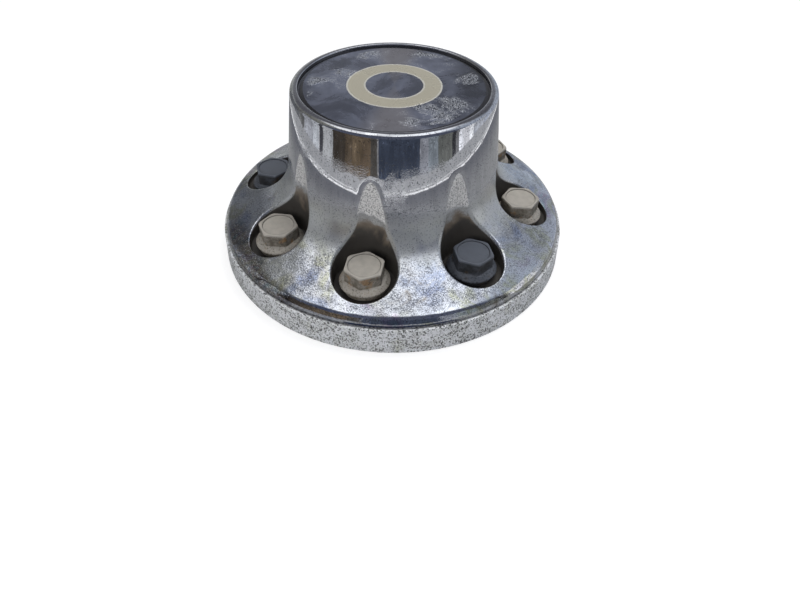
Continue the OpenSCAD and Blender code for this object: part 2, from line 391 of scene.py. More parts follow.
def well_patch(section, well, grow, reach, rows):
    """One sector of a turned surface with a round wall through it and a soft edge between them.

    The border of the sector is joined to the soft edge by straight lines in length and angle. The edge is a
    cubic curve from surface to wall whose ends lie in both, and reach(share) is how far it goes on each
    side, share being 1 over the arch and 0 at the outer end. Rows are the counts for surface and edge.
    """
    theta = even_rim(section, well, grow, AROUND)
    z = rim_height(section, well, grow, theta)
    rim = wall_point(well, grow, theta, z)
    angle = np.arctan2(rim[:, 1], rim[:, 0])
    s = np.interp(np.hypot(rim[:, 0], rim[:, 1]), section.r, section.s)
    run = unit(np.roll(rim, -1, 0) - np.roll(rim, 1, 0))
    along, round_ = section.basis(s, angle)
    away = unit(np.cross(run, np.cross(along, round_)))
    away *= np.sign(away[len(away) // 2] @ along[len(along) // 2])
    down, about = wall_basis(well, theta)
    inward = unit(np.cross(run, np.cross(down, about)))
    inward *= np.sign(inward[0] @ down[0])
    high = reach(np.clip((z - z.min()) / (z.max() - z.min()), 0, 1))

    a_s = s + dot(away, along) * high
    a_angle = angle + dot(away, round_) * high / section.at(s)[0]
    a = section.point(a_s, a_angle)
    a_along, a_round = section.basis(a_s, a_angle)
    a_way = -dot(away, along)[:, None] * a_along - dot(away, round_)[:, None] * a_round
    b_theta = theta + dot(inward, about) * high / np.hypot(rim[:, 0] - well.circle, rim[:, 1])
    b_z = z + dot(inward, down) * high * down[:, 2]
    b = wall_point(well, grow, b_theta, b_z)
    b_down, b_about = wall_basis(well, b_theta)
    b_way = dot(inward, about)[:, None] * b_about + dot(inward, down)[:, None] * b_down

    surface_rows, edge_rows = rows
    edge_s, edge_angle = sector_edge(section)
    t = 1 - (1 - np.linspace(0, 1, surface_rows + 1)) ** 1.35
    t = t[:, None]
    surface = section.point(edge_s * (1 - t) + a_s * t, edge_angle * (1 - t) + a_angle * t)
    pull = 0.62 * high[:, None]
    t = np.linspace(0, 1, edge_rows + 1)[:, None, None]
    edge = (a * (1 - t) ** 3 + 3 * (a + pull * a_way) * t * (1 - t) ** 2
            + 3 * (b - pull * b_way) * t ** 2 * (1 - t) + b * t ** 3)
    return surface, edge, b_theta, b_z


def wall_rows(well, grow, theta, z, foot_z, rows):
    """The wall from the soft edge down to a level, its angles drifting to equal ones."""
    t = np.linspace(0, 1, rows + 1)[:, None]
    return wall_point(well, grow, theta * (1 - t) + EVEN * t, z * (1 - t) + foot_z * t)


def lug_rings(well, radii, heights):
    """Circles about a lug's axis at equal angles."""
    r, z = np.array(radii)[:, None], np.array(heights)[:, None]
    return np.stack([well.circle + r * np.cos(EVEN), r * np.sin(EVEN), z + 0 * EVEN], -1)


def rib_grid(hollow, size):
    """A plate under the dome between two wells: its foot rises in a straight line from the rim to the hub,
    and its head follows the hollow, a little inside the moulding. Each row is one upright section.
    """
    radius = np.linspace(RIB_START, size.step_radius - size.wall / 2, 24)
    foot = np.interp(radius, (RIB_START, size.step_radius), RIB_FOOT)
    past = np.maximum(0, radius - hollow.r[-1]) * math.tan(size.dome_slope)
    head = np.interp(radius, hollow.r, hollow.z) - past + RIB_SINK
    half, soft = size.rib / 2, 0.3 * MM
    y = np.array([-half, -half + soft, half - soft, half, half, half - soft, -half + soft, -half])
    x = radius[:, None] + 0 * y
    z = np.concatenate([foot[:, None] + [soft, 0, 0, soft], head[:, None] + 0 * y[:4]], 1)
    rows = np.stack([x, y + 0 * x, z], -1)
    ends = [np.broadcast_to(rows[i].mean(0), rows[i].shape)[None] for i in (0, -1)]
    return np.concatenate([ends[0], rows, ends[1]])


def build_shell(size, well, materials):
    """The plated moulding: eight patches with their wells, the lip, the rim, the hollow and the ribs."""
    top, patch, rim, under, roof = cap_outlines(size)
    skin = Skin()
    start = -math.pi / 2 - SECTOR / 2
    fine = start + np.arange(LUGS * TOP_COLUMNS) * SECTOR / TOP_COLUMNS
    wide = start + np.arange(LUGS * RIM_COLUMNS) * SECTOR / RIM_COLUMNS
    skin.grid(revolved(spaced(top, 3 * MM), fine))
    skin.grid(revolved(spaced(rim, 3 * MM), wide))
    skin.grid(revolved(spaced(roof, 6 * MM), fine), slot=1)

    outer, inner = Section(patch), Section(under)
    shares, reaches = (0, 0.12, 0.75, 0.9, 1), (well.lip, well.flank, well.flank, well.brow, well.brow)
    surface, edge, theta, z = well_patch(outer, well, 0,
                                         lambda share: np.interp(share, shares, reaches), (14, 10))
    fillet, lip = 1.2 * MM, 0.3 * MM
    turn = np.linspace(0, math.pi / 2, 5)
    out, down = 1 - np.cos(turn), 1 - np.sin(turn)
    floor_r = well.radius + fillet * math.tan(well.draft)
    flat = np.linspace(floor_r - fillet, well.hole + lip, 4)
    floor = lug_rings(well, np.concatenate([flat, well.hole + lip * down]),
                      np.concatenate([0 * flat + well.floor, well.floor - lip * out]))
    below = well.floor - well.floor_thickness
    seen = (edge, wall_rows(well, 0, theta, z, well.floor + fillet, 8),
            lug_rings(well, floor_r - fillet * out, well.floor + fillet * down), floor,
            lug_rings(well, [well.hole, well.hole], [well.floor - lip, below + lip]))
    marks = [np.linspace(0, 1, len(edge))[:, None]] + [1.0] * (len(seen) - 1)

    surface_in, edge_in, theta_in, z_in = well_patch(inner, well, well.cup_wall,
                                                     lambda share: 0.5 * MM + 0 * share, (8, 3))
    outer_r = well.radius + well.cup_wall + (below - well.floor) * math.tan(well.draft)
    out, down = out[::2], down[::2]
    radii = outer_r - lip * out, [well.hole + 4 * MM], well.hole + lip * out[::-1]
    heights = below + lip * down, [below], below + lip * down[::-1]
    base_in = lug_rings(well, np.concatenate(radii), np.concatenate(heights))
    hidden = surface_in, edge_in, wall_rows(well, well.cup_wall, theta_in, z_in, below + lip, 3), base_in
    rib = rib_grid(inner, size)
    for i in range(LUGS):
        angle = -math.pi / 2 + i * SECTOR
        skin.grid(turned(surface, angle))
        for part, mark in zip(seen, marks):
            skin.grid(turned(part, angle), mark=mark)
        for part in hidden:
            skin.grid(turned(part, angle), slot=1)
        skin.grid(turned(rib, angle + SECTOR / 2), slot=1)
    return skin.piece("plated_shell", materials, 50)


# Covers and disc

def hexagon(theta, flat, turn):
    """Distance from the centre to a hexagon with soft corners: flat over the 60th root of a sum of 60th
    powers of cosines.
    """
    power = 60
    total = sum(np.abs(np.cos(theta - turn - math.radians(30 + 60 * i))) ** power for i in range(3))
    return flat / total ** (1 / power)


def cover_grid(turn):
    """A lug nut cover about its own axis, from the middle of its dished top down and up into its socket.

    Each row is a closed curve: round, or a hexagon of soft corners. The socket's wall carries a thread, a
    triangular wave of the height less the angle's share of one pitch.
    """
    theta = np.arange(COVER_COLUMNS) / COVER_COLUMNS * 2 * math.pi
    top, foot, flat = 38 * MM, 29.5 * MM, 10.5 * MM
    dish_r, dish = 9.2 * MM, 0.6 * MM
    hexa = hexagon(theta, flat, turn)
    chamfer = np.clip((hexa - 11.45 * MM) * 1.1, 0, 1 * MM)
    rows = [(0 * theta, top - dish)]
    rows += [(share * dish_r, top - dish) for share in (0.3, 0.6, 0.85, 0.95)]
    rows += [(dish_r - 0.15 * MM, top - dish + 0.05 * MM), (dish_r, top - dish + 0.2 * MM),
             (dish_r + 0.02 * MM, top - 0.15 * MM), (dish_r + 0.15 * MM, top)]
    rows += [(hexa - chamfer * 0.9 - 0.4 * MM, top), (hexa - chamfer * 0.8 - 0.2 * MM, top - 0.04 * MM),
             (hexa - 0.08 * MM, top - 0.12 * MM - chamfer * 0.8), (hexa, top - 0.35 * MM - chamfer)]
    rows += [(hexa, foot + height) for height in (6 * MM, 4 * MM, 2 * MM, 0.5 * MM)]
    rows += [(hexa + 0.05 * MM, foot + 0.15 * MM), (hexa + 0.2 * MM, foot + 0.02 * MM)]
    rows += [(0 * theta + r * MM, z * MM) for r, z in (
        (12.45, 29.42), (12.7, 29.2), (13.4, 28.4), (14.1, 27.65), (14.45, 27.3), (14.6, 27.0), (14.6, 26.2),
        (14.45, 26.02), (14.2, 26.0), (13.4, 26.0), (13.2, 25.8), (13.2, 22.7), (13.0, 22.5), (11.9, 22.5),
        (11.7, 22.3), (11.7, 19.7), (11.8, 19.5), (12.4, 19.5), (12.5, 19.4), (12.5, 18.0), (12.4, 17.7),
        (11.7, 15.3), (11.7, 13.4), (11.55, 13.1), (11.1, 12.6), (10.9, 12.5), (9.9, 12.5), (9.6, 12.7))]
    pitch, depth, low, high = 1.5 * MM, 0.32 * MM, 13.1 * MM, 33.2 * MM
    for z in np.arange(low, high, pitch / 8):
        wave = np.abs(((z / pitch - theta / (2 * math.pi)) % 1) * 2 - 1) - 0.5
        fade = min(1, (z - low) / pitch, (high - z) / pitch)
        rows.append((9.2 * MM + 0 * theta + depth * wave * max(0, fade), z))
    rows += [(r * MM, z * MM) for r, z in ((9.2, 33.6), (9.0, 33.9), (8.7, 34), (4, 34), (0, 34))]
    points = np.stack([np.stack([r * np.cos(theta), r * np.sin(theta), z + 0 * theta], -1) for r, z in rows])
    reach = np.hypot(points[..., 0], points[..., 1])
    rim = np.exp(-((reach - dish_r) / (0.3 * MM)) ** 2) * (points[..., 2] > top - 0.9 * MM)
    side = np.clip((reach - flat + 0.3 * MM) / (0.4 * MM), 0, 1) * (points[..., 2] < top - 0.3 * MM)
    return points, np.maximum(rim, 0.5 * side)


def build_cover(name, index, well, material):
    """One cover in its well, its snap fingers parted by two crossed slots."""
    turn = math.radians(HEX_CLOCK[index])
    skin = Skin()
    points, mark = cover_grid(turn)
    skin.grid(points, mark=mark)
    cover = skin.piece(name, [material], 42)
    width, reach, low, high = 1.2 * MM, 14 * MM, 11 * MM, 21.5 * MM
    for degrees in (45, 135):
        bar = bpy.data.meshes.new("slot")
        corners = np.array([(x, y, z) for z in (low, high) for y in (-width, width)
                            for x in (-reach, reach)])
        bar.from_pydata(turned(corners, math.radians(degrees)).tolist(), [],
                        [(0, 2, 3, 1), (4, 5, 7, 6), (0, 1, 5, 4), (2, 6, 7, 3), (0, 4, 6, 2), (1, 3, 7, 5)])
        cutter = add_object("slot", bar)
        cut = cover.modifiers.new("slot", "BOOLEAN")
        cut.object, cut.operation, cut.solver = cutter, "DIFFERENCE", "EXACT"
        apply_modifiers(cover)
        bpy.data.objects.remove(cutter)
        bpy.data.meshes.remove(bar)
    cover.data.transform(Matrix.Rotation(-math.pi / 2 + index * SECTOR, 4, "Z")
                         @ Matrix.Translation((well.circle, 0, 0)))
    return cover


def apply_modifiers(thing):
    """Swaps the piece's mesh for the one that its modifiers make."""
    graph = bpy.context.evaluated_depsgraph_get()
    made = bpy.data.meshes.new_from_object(thing.evaluated_get(graph))
    thing.modifiers.clear()
    old, thing.data = thing.data, made
    name = old.name
    bpy.data.meshes.remove(old)
    made.name = name


def build_disc(size, material):
    """The lacquered disc: a turned section with a bevelled border and a fine raised ring on each side of its
    inlay.
    """
    base = size.height - size.recess_depth
    thick, crown, face = 1.3 * MM, 0.3 * MM, 52.2 * MM
    section = [(54.6, 0), (54.6, 0.35), (54.45, 0.52), (54.2, 0.6), (52.6, 1.2), (52.3, 1.28), (52.0, 1.31)]
    spans = (51.7, 27.6, 60), (27.3, 16.7, 40), (16.3, 0, 20)
    radii = np.concatenate([np.linspace(*span) for span in spans]) * MM
    height = thick + crown * (1 - (radii / face) ** 2)
    for edge in (INLAY_OUTER, INLAY_INNER):
        height += 0.1 * MM * np.exp(-((radii - edge) / (0.35 * MM)) ** 2)
    r = np.concatenate([[0], [p[0] * MM for p in section], radii])
    z = np.concatenate([[0], [p[1] * MM for p in section], height]) + base
    angles = np.arange(DISC_COLUMNS) / DISC_COLUMNS * 2 * math.pi
    points = revolved(np.stack([r, z], -1), angles)
    x, y = points[..., 0], points[..., 1]
    inside = np.clip((51.5 * MM - np.hypot(x, y)) / (3 * MM), 0, 1) * (points[..., 2] > base + thick * 0.9)
    lift = wrinkles(x, y) * inside
    points[..., 2] += lift
    skin = Skin()
    skin.grid(points, mark=np.clip(lift / (0.6 * MM), 0, 1))
    return skin.piece("lacquered_disc", [material], 40)


def wrinkles(x, y):
    """Height of the lifted lacquer: in each place a bell-shaped patch of folds, the folds being ridges where
    a stretched noise passes zero, the square of 1 - 1.5 |noise|.
    """
    rise = 0 * x
    for i, (at_x, at_y, radius, degrees, height) in enumerate(LIFTED):
        c, s = math.cos(math.radians(degrees)), math.sin(math.radians(degrees))
        u, v = (x - at_x * MM) * c + (y - at_y * MM) * s, (y - at_y * MM) * c - (x - at_x * MM) * s
        patch = np.exp(-(u ** 2 + (1.5 * v) ** 2) / (0.55 * radius * MM) ** 2)
        fold = value_noise(u, v * 2.2, 6 * MM, 40 + i) + 0.5 * value_noise(u, v * 2.2, 2.6 * MM, 60 + i)
        rise += height * MM * patch * (0.2 + (1 - np.clip(np.abs(fold) * 1.5, 0, 1)) ** 2)
    return np.minimum(rise, 0.9 * MM)


# Finishes

def feed(tree, socket, value):
    """Links an output to a socket, or sets the socket's own value."""
    if isinstance(value, bpy.types.NodeSocket):
        tree.links.new(value, socket)
    else:
        socket.default_value = value


def socket_named(sockets, name):
    """The first live socket of that name, written in lower case with _ for a space."""
    return next(i for i in sockets if i.enabled and i.name.lower().replace(" ", "_") == name)


def scaled(colour, *factors):
    """The colour times one factor, or times one for each channel."""
    return tuple(c * f for c, f in zip(colour, factors * (3 // len(factors))))


class Graph:
    """A node tree written as nested calls: each call adds nodes and gives back an output."""

    def __init__(self, tree):
        self.tree = tree

    def add(self, kind, output=0, settings=(), **inputs):
        """Adds a node. Inputs are its sockets' names, or in0, in1, ... for their numbers."""
        node = self.tree.nodes.new("ShaderNode" + kind)
        for name, value in dict(settings).items():
            setattr(node, name, value)
        for name, value in inputs.items():
            number = name[2:] if name.startswith("in") else ""
            socket = node.inputs[int(number)] if number.isdigit() else socket_named(node.inputs, name)
            feed(self.tree, socket, value)
        return node.outputs[output]

    def math(self, operation, a, b=0.0, clamp=False):
        """One sum. Its operands are numbers or outputs."""
        return self.add("Math", settings={"operation": operation, "use_clamp": clamp}, in0=a, in1=b)

    def times(self, first, *others):
        """The product of its operands."""
        for other in others:
            first = self.math("MULTIPLY", first, other)
        return first

    def plus(self, first, *others):
        """The sum of its operands."""
        for other in others:
            first = self.math("ADD", first, other)
        return first

    def minus(self, a, b, clamp=False):
        """The difference of its operands."""
        return self.math("SUBTRACT", a, b, clamp)

    def rest(self, share):
        """What a share leaves of one."""
        return self.minus(1.0, share)

    def reach(self, x, y):
        """Distance from the axis: the root of x squared plus y squared."""
        return self.math("SQRT", self.plus(self.times(x, x), self.times(y, y)))

    def between(self, value, low, high):
        """One where the value lies between low and high, and nothing elsewhere."""
        return self.times(self.math("GREATER_THAN", value, low), self.math("LESS_THAN", value, high))

    def blend(self, share, a, b, way="MIX"):
        """Mixes two colours."""
        node = self.tree.nodes.new("ShaderNodeMix")
        node.data_type, node.blend_type, node.clamp_result = "RGBA", way, False
        for index, value in ((0, share), (6, a), (7, b)):
            feed(self.tree, node.inputs[index], (*value, 1) if isinstance(value, tuple) else value)
        return node.outputs[2]

    def coat(self, base, colour, *shares):
        """Lays a colour over the base, as strongly as the product of the shares."""
        return self.blend(self.times(*shares), base, colour)

    def tinted(self, base, colour):
        """The base times a colour."""
        return self.blend(1.0, base, colour, "MULTIPLY")

    def grey(self, value):
        """A grey of that value."""
        return self.add("CombineXYZ", in0=value, in1=value, in2=value)

    def steps(self, value, stops, smooth=True):
        """A colour ramp. Stops are (place, colour)."""
        node = self.tree.nodes.new("ShaderNodeValToRGB")
        ramp = node.color_ramp
        ramp.interpolation = "LINEAR" if smooth else "CONSTANT"
        while len(ramp.elements) < len(stops):
            ramp.elements.new(1)
        for element, (place, colour) in zip(ramp.elements, stops):
            element.position, element.color = place, (*colour, 1)
        self.tree.links.new(value, node.inputs[0])
        return node.outputs[0]

    def ease(self, value, low, high, to_low=0.0, to_high=1.0):
        """Carries low..high to to_low..to_high, smoothly and clamped."""
        return self.add("MapRange", settings={"interpolation_type": "SMOOTHSTEP"}, in0=value, in1=low,
                        in2=high, in3=to_low, in4=to_high)

    def window(self, value, rise, fall):
        """Grows from nothing to one over rise and shrinks back to nothing over fall."""
        return self.times(self.ease(value, *rise), self.ease(value, *fall))

    def noise(self, place, scale, detail=2.0, rough=0.5, twist=0.0):
        """Noise whose features are about 1/scale metres wide."""
        return self.add("TexNoise", vector=place, scale=scale, detail=detail, roughness=rough,
                        distortion=twist)

    def split(self, vector):
        """The three coordinates of a vector."""
        return [self.add("SeparateXYZ", axis, vector=vector) for axis in range(3)]

    def place(self):
        """Object coordinates."""
        return self.add("TexCoord", 3)

    def mark(self):
        """The number that each vertex carries."""
        return self.add("Attribute", 2, settings={"attribute_name": "mark"})

    def bump(self, height, strength, distance, **normal):
        """Bends the surface's normal by a height in metres."""
        return self.add("Bump", height=height, strength=strength, distance=distance, **normal)


def new_material(name):
    """A new material, its graph and its principled shader."""
    material = bpy.data.materials.new(name)
    material.use_nodes = True
    return material, Graph(material.node_tree), material.node_tree.nodes["Principled BSDF"]


def plug(graph, shader, **sockets):
    """Sets or links the shader's sockets."""
    for name, value in sockets.items():
        feed(graph.tree, socket_named(shader.inputs, name), value)


# Where the zones of the plating begin, as the radii or heights between which each fades in
BAND_BEYOND, BAND_BELOW = (0.10995, 0.1102), (0.01775, 0.01735)
DOME_BEYOND, ROLL_BEYOND, CLEAR_BEYOND = (0.068, 0.086), (0.1055, 0.1085), (0.1030, 0.1070)
FLARE_WITHIN, FLARE_BELOW = (0.084, 0.073), (0.070, 0.056)
SCUFFED_WITHIN, SCUFFED_BELOW = (0.088, 0.078), (0.062, 0.052)
WORN_BELOW, STREAKED_ABOVE = (0.094, 0.080), (0.055, 0.065)
RAW_ABOVE, SOOT_AND_SHADE_BELOW = (0.0535, 0.0575), (0.056, 0.050)
BROWN_BELOW, DEEP_SHADE_BELOW = (0.052, 0.047), (0.049, 0.041)
# The painted shade line in the ledge's corner, by radius and by height
SHADED_CORNER_RADII = (0.1094, 0.1099), (0.1108, 0.1103)
SHADED_CORNER_HEIGHTS = (0.0170, 0.0173), (0.0192, 0.0184)
# The sector with a painted dark reflection: its two sides in radians about Z, and how its inner border runs
# out to the roll
DARK_REFLECTION_SIDES = (-2.85, -2.55), (-1.65, -1.85)
DARK_REFLECTION_BORDER = (-2.50, -1.75, 0.095, 0.107)

DOME_TINTS = (
    (0.30, (0.50, 0.56, 0.76)), (0.40, (0.70, 0.77, 0.92)), (0.47, (1.0, 1.0, 1.0)),
    (0.53, (0.84, 0.85, 0.62)), (0.59, (1.0, 1.0, 0.98)), (0.66, (0.84, 0.70, 0.84)),
    (0.76, (0.52, 0.78, 0.78)),
)
# Colours of the painted dark reflection, picked by the patch noise
DARK_REFLECTION_TINTS = (
    (0.35, (0.05, 0.10, 0.11)), (0.45, (0.10, 0.10, 0.12)), (0.52, (0.20, 0.18, 0.14)),
    (0.60, (0.13, 0.10, 0.13)), (0.68, (0.07, 0.14, 0.14)),
)


def chrome_plating(colours):
    """Bright chrome that has gone hazy, pitted and stained: clear on the hub, speckled on the dome, rotten
    on the rim's band, and rough behind the covers, where it was never polished. Its colour also carries
    painted light: a dark reflection over one sector, and shade in the ledge's corner and deep in the wells.
    """
    material, g, shader = new_material("chrome_plating")
    place, mark = g.place(), g.mark()
    x, y, z = g.split(place)
    radius, turn = g.reach(x, y), g.math("ARCTAN2", y, x)
    cloud = g.noise(place, 45, 4, 0.6, 0.4)
    patch = g.noise(place, 130, 3, 0.6)
    grain = g.noise(place, 1300, 2, 0.7)

    band = g.times(g.ease(radius, *BAND_BEYOND), g.ease(z, *BAND_BELOW))
    above = g.rest(band)
    roll = g.times(g.ease(radius, *ROLL_BEYOND), above)
    dome = g.times(g.ease(radius, *DOME_BEYOND), above)
    height = g.plus(z, g.ease(cloud, 0.3, 0.7, -0.006, 0.006))
    raw = g.times(g.ease(mark, 0.42, 0.62), g.ease(height, *RAW_ABOVE))
    # Soot on the wells' lower walls, darkened further with depth as painted shade
    soot_and_shade = g.times(g.ease(mark, 0.60, 0.95), g.ease(height, *SOOT_AND_SHADE_BELOW))
    flare = g.times(g.ease(z, *FLARE_BELOW), g.ease(radius, *FLARE_WITHIN))
    scuffed = g.times(g.ease(z, *SCUFFED_BELOW), g.ease(radius, *SCUFFED_WITHIN),
                      g.ease(patch, 0.30, 0.60, 0.45, 1.0))
    worn = g.times(g.ease(cloud, 0.52, 0.64), g.ease(z, *WORN_BELOW), 0.30)
    haze = g.times(dome, g.ease(patch, 0.30, 0.70, 0.35, 1.0), g.ease(radius, *CLEAR_BEYOND, 1.0, 0.2))
    haze = g.math("MAXIMUM", haze, worn)

    # Tints, streaks, scuffs, rust, pits, a painted dark reflection and gleams of the hub and the dome
    base = g.coat((1, 1, 1), g.steps(g.noise(place, 34, 3, 0.55, 0.9), DOME_TINTS), dome, 0.92)
    upright = g.add("CombineXYZ", in0=x, in1=y, in2=g.times(z, 0.1))
    streak = g.ease(g.noise(upright, 380, 2, 0.6), 0.35, 0.65, 0.93, 1.05)
    base = g.coat(base, g.tinted(base, g.grey(streak)), g.ease(z, *STREAKED_ABOVE))
    base = g.tinted(base, tuple(colours.plating))
    base = g.coat(base, (0.52, 0.54, 0.49), scuffed, 0.55)
    base = g.coat(base, (0.74, 0.77, 0.83), dome, g.ease(g.noise(place, 48, 3, 0.5), 0.54, 0.44, 0.0, 0.85))
    base = g.coat(base, (0.24, 0.19, 0.12), dome, g.ease(g.noise(place, 60, 4, 0.65, 0.6), 0.60, 0.72), 0.7)
    pitted = g.plus(g.times(haze, 0.13), g.times(patch, 0.09), g.times(roll, 0.03))
    specks = g.ease(g.plus(g.noise(place, 1150, 2, 0.75), g.times(pitted, 0.9)), 0.60, 0.70)
    base = g.coat(base, (0.12, 0.125, 0.15), specks, 0.66)
    # Painted dark reflection over one sector of the outer dome and the roll, ragged at its inner border
    ragged = g.plus(radius, g.times(g.minus(cloud, 0.5), 0.016))
    dark_reflection = g.times(g.ease(g.minus(ragged, g.ease(turn, *DARK_REFLECTION_BORDER)), 0.0, 0.007),
                      g.window(turn, *DARK_REFLECTION_SIDES), above)
    base = g.coat(base, g.steps(patch, DARK_REFLECTION_TINTS), dark_reflection, g.ease(grain, 0.64, 0.48, 0.30, 0.95))
    base = g.coat(base, (0.92, 0.93, 0.95), dome, g.ease(g.noise(place, 1500, 1, 0.5), 0.60, 0.68), 0.7)

    # The rim's band: olive stains, bright flecks and deep pits
    rot = g.coat((0.80, 0.81, 0.83), (0.64, 0.65, 0.63), g.ease(patch, 0.30, 0.70))
    rot = g.coat(rot, (0.45, 0.45, 0.31), g.ease(cloud, 0.50, 0.66), g.ease(patch, 0.35, 0.65), 0.60)
    rot = g.coat(rot, (0.94, 0.95, 0.97), g.ease(g.noise(place, 2300, 1, 0.5), 0.52, 0.64))
    holes = g.ease(g.plus(g.noise(place, 900, 2, 0.75), g.times(patch, 0.20)), 0.635, 0.675)
    rot = g.coat(rot, (0.045, 0.044, 0.040), holes, 0.94)
    base = g.coat(base, rot, band)
    # Painted shade: a dark line in the corner at the riser's foot, on the band's ledge
    corner_shade = g.times(g.window(radius, *SHADED_CORNER_RADII), g.window(z, *SHADED_CORNER_HEIGHTS))
    base = g.coat(base, (0.07, 0.07, 0.075), corner_shade, 0.65)

    # The wells' walls: pale crust above, and below it soot with painted shade that goes from grey by brown
    # to black, the black being painted shade deep in the well
    crust = g.coat((0.28, 0.275, 0.27), (0.82, 0.81, 0.79), g.ease(grain, 0.40, 0.52))
    base = g.coat(base, crust, raw)
    shade = g.coat((0.22, 0.215, 0.205), (0.36, 0.355, 0.34), g.ease(grain, 0.40, 0.60))
    shade = g.coat(shade, (0.185, 0.150, 0.115), g.ease(height, *BROWN_BELOW))
    # Painted shade: black deep in the well
    shade = g.coat(shade, (0.058, 0.053, 0.047), g.ease(height, *DEEP_SHADE_BELOW))
    base = g.coat(base, shade, soot_and_shade)

    metal = g.minus(g.rest(g.times(band, 0.85)), g.times(scuffed, 0.30))
    metal = g.minus(metal, g.times(g.math("MAXIMUM", raw, soot_and_shade), 0.75), clamp=True)
    rough = g.plus(0.018, g.times(haze, 0.14), g.times(flare, 0.34), g.times(specks, 0.2))
    for area, value in ((band, 0.42), (raw, 0.50), (soot_and_shade, 0.38)):
        rough = g.plus(g.times(rough, g.rest(area)), g.times(area, value))
    frost = g.plus(0.006, g.times(haze, 0.60), g.times(g.plus(band, raw), 0.5))
    normal = g.bump(grain, g.times(frost, 0.8), 0.00035)
    waves = g.bump(g.noise(place, 60, 2, 0.5), g.ease(dome, 0.0, 1.0, 0.008, 0.16), 0.004, normal=normal)
    plug(g, shader, base_color=base, metallic=metal, roughness=rough, normal=waves)
    return material


def bare_underside():
    """The moulding's inside: thin dull plating over grey plastic, with dust."""
    material, g, shader = new_material("underside_plating")
    place = g.place()
    dust = g.ease(g.noise(place, 90, 4, 0.6), 0.35, 0.7)
    plug(g, shader, base_color=g.coat((0.30, 0.30, 0.31), (0.17, 0.16, 0.15), dust), metallic=0.75,
         roughness=g.ease(dust, 0, 1, 0.38, 0.62), normal=g.bump(g.noise(place, 900, 3, 0.6), 0.25, 0.0002))
    return material


def disc_lacquer(colours):
    """Slate lacquer over spun metal, lighter in two wedges of painted sheen where the spinning catches the
    light and darker towards one side as painted shade, crazed and milky where it has lifted, with a
    champagne ring between two pale lines and a border of painted shade.
    """
    material, g, shader = new_material("disc_lacquer")
    place, lift = g.place(), g.mark()
    x, y, _ = g.split(place)
    radius = g.reach(x, y)
    spin = g.noise(g.add("CombineXYZ", in0=radius, in1=0.0, in2=0.0), 2600, 3, 0.6)
    cloud = g.noise(place, 42, 5, 0.6, 0.5)
    fleck = g.noise(place, 1500, 2, 0.7)
    right = g.plus(*(g.times(axis, share) for axis, share in zip((x, y), PHOTO_RIGHT)))
    # Painted sheen of the spun metal: two lighter wedges along one axis of the disc
    sheen_wedge = g.math("ABSOLUTE", g.math("SINE", g.math("ARCTAN2", right, y)))
    sheen_wedge = g.times(g.ease(sheen_wedge, 0.42, 0.12), g.ease(radius, 0.004, 0.030, 0.35, 1.0))
    lacquer = g.coat(scaled(colours.lacquer, 0.6), scaled(colours.lacquer, 1.30), g.ease(cloud, 0.36, 0.62))
    # Painted shade: the lacquer darkens to half towards one side of the disc
    lacquer = g.tinted(lacquer, g.grey(g.ease(right, 0.020, 0.046, 1.0, 0.5)))
    lacquer = g.coat(lacquer, (0.21, 0.20, 0.21), sheen_wedge, 0.75)
    milky = g.times(g.ease(lift, 0.06, 0.35), g.ease(fleck, 0.46, 0.58))
    milky = g.math("MAXIMUM", milky, g.times(g.ease(cloud, 0.56, 0.66), g.ease(fleck, 0.54, 0.64)))
    lacquer = g.coat(lacquer, (0.025, 0.028, 0.04), g.ease(lift, 0.25, 0.7), 0.8)
    lacquer = g.coat(lacquer, (0.56, 0.58, 0.62), milky, 0.80)
    inlay = g.coat(scaled(colours.inlay, 0.86), tuple(colours.inlay), g.ease(spin, 0.3, 0.7))
    base = g.coat(lacquer, inlay, g.between(radius, INLAY_INNER, INLAY_OUTER))
    edges = [g.math("ABSOLUTE", g.minus(radius, edge)) for edge in (INLAY_INNER, INLAY_OUTER)]
    line = g.math("MINIMUM", *edges)
    base = g.coat(base, (0.72, 0.70, 0.62), g.math("LESS_THAN", line, INLAY_LINE))
    # Painted shade: a near-black border where the disc meets the recess
    base = g.coat(base, (0.03, 0.03, 0.035), g.ease(radius, *SHADED_BORDER))
    rough = g.plus(g.ease(cloud, 0.3, 0.7, 0.22, 0.36), g.times(milky, 0.15))
    height = g.plus(g.times(fleck, milky), g.times(spin, 0.12))
    plug(g, shader, base_color=base, metallic=0.35, roughness=rough, normal=g.bump(height, 0.5, 0.0003))
    return material


# Heights between which a cover's grime and the darkening in its groove fade in, and those that bound its
# flange
GRIME_BELOW, GROOVE_ABOVE = (0.0374, 0.0362), (0.0368, 0.0371)
FLANGE_HEIGHTS = (0.0262, 0.0268), (0.0300, 0.0294)


